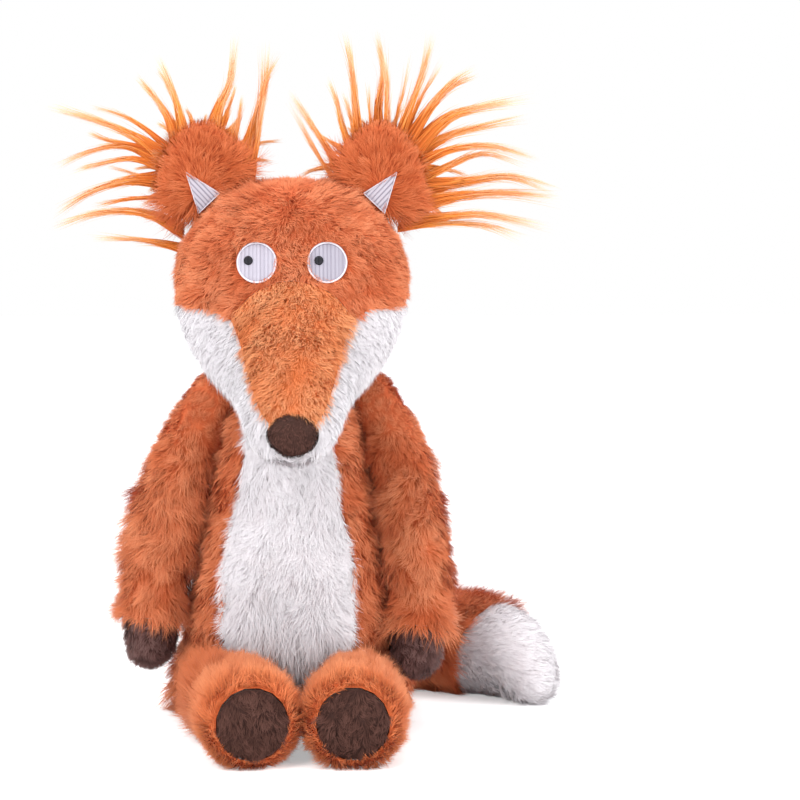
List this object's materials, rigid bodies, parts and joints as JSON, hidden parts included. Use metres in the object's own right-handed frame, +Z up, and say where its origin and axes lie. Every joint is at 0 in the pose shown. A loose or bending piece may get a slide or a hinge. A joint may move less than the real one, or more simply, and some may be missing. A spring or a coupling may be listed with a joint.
{
  "type": "plush fox",
  "caption": "Sitting long-armed plush fox with embroidered eyes, shaggy ears, a white belly and a thick white-tipped tail.",
  "frame": {"origin": "on the floor, on the flat underside of the toy's seat, below its neck", "axes": "+Z up, -Y the way the face looks, +X towards the toy's own left arm"},
  "size_m": [0.2739, 0.253, 0.391],
  "materials": {
    "rust fur": "matte",
    "snout fur": "matte",
    "long pile": "matte",
    "white fur": "matte",
    "dark brown plush": "matte",
    "white embroidery": "matte",
    "black embroidery": "matte",
    "stuffing": "matte",
    "pellets": "matte"
  },
  "bodies": {
    "torso": {"back_panel": "rust fur", "belly_panel": "white fur", "base_panel": "rust fur", "torso_stuffing": "stuffing", "pellet_bag": "pellets"},
    "neck": {"neck": "rust fur"},
    "head": {"head_back": "rust fur", "head_crown": "rust fur", "snout_top": "snout fur", "cheek_left": "white fur", "cheek_right": "white fur", "chin": "white fur", "head_stuffing": "stuffing", "nose": "dark brown plush", "eye_left": "white embroidery", "eye_right": "white embroidery", "eye_rim_left": "white embroidery", "eye_rim_right": "white embroidery", "pupil_left": "black embroidery", "pupil_right": "black embroidery"},
    "ear_left": {"ear_front_left": "rust fur", "ear_back_left": "rust fur", "inner_ear_left": "white embroidery", "ear_hair_left": "long pile"},
    "arm_left": {"arm_left": "rust fur", "paw_left": "dark brown plush", "arm_stuffing_left": "stuffing"},
    "leg_left": {"leg_left": "rust fur", "sole_left": "dark brown plush", "leg_stuffing_left": "stuffing"},
    "ear_right": {"ear_front_right": "rust fur", "ear_back_right": "rust fur", "inner_ear_right": "white embroidery", "ear_hair_right": "long pile"},
    "arm_right": {"arm_right": "rust fur", "paw_right": "dark brown plush", "arm_stuffing_right": "stuffing"},
    "leg_right": {"leg_right": "rust fur", "sole_right": "dark brown plush", "leg_stuffing_right": "stuffing"},
    "tail": {"tail": "rust fur", "tail_tip": "white fur", "tail_stuffing": "stuffing"}
  },
  "joints": [
    {"name": "neck_turn", "type": "hinge", "parent": "torso", "child": "neck", "pos_m": [0, 0, 0.2], "axis": [0, 0, 1], "range_deg": [-30, 30]},
    {"name": "head_nod", "type": "hinge", "parent": "neck", "child": "head", "pos_m": [0, 0, 0.2], "axis": [1, 0, 0], "range_deg": [-25, 10]},
    {"name": "ear_left_flop", "type": "hinge", "parent": "head", "child": "ear_left", "pos_m": [0.04236, -0.006, 0.29106], "axis": [0.7986, 0, -0.6018], "range_deg": [-35, 35], "stiffness_Nm_per_rad": 0.02},
    {"name": "ear_right_flop", "type": "hinge", "parent": "head", "child": "ear_right", "pos_m": [-0.04236, -0.006, 0.29106], "axis": [0.7986, 0, 0.6018], "range_deg": [-35, 35], "stiffness_Nm_per_rad": 0.02},
    {"name": "arm_left_swing", "type": "hinge", "parent": "torso", "child": "arm_left", "pos_m": [0.04116, 0, 0.1825], "axis": [1, 0, 0], "range_deg": [-80, 0]},
    {"name": "arm_right_swing", "type": "hinge", "parent": "torso", "child": "arm_right", "pos_m": [-0.04143, 0, 0.1825], "axis": [1, 0, 0], "range_deg": [-80, 35]},
    {"name": "leg_left_swing", "type": "hinge", "parent": "torso", "child": "leg_left", "pos_m": [0.035, -0.03145, 0.0195], "axis": [1, 0, 0], "range_deg": [-25, 90]},
    {"name": "leg_right_swing", "type": "hinge", "parent": "torso", "child": "leg_right", "pos_m": [-0.035, -0.03146, 0.0195], "axis": [1, 0, 0], "range_deg": [-25, 90]},
    {"name": "tail_swing", "type": "hinge", "parent": "torso", "child": "tail", "pos_m": [0, 0.06306, 0.026], "axis": [0, 0, 1], "range_deg": [0, 100]}
  ]
}
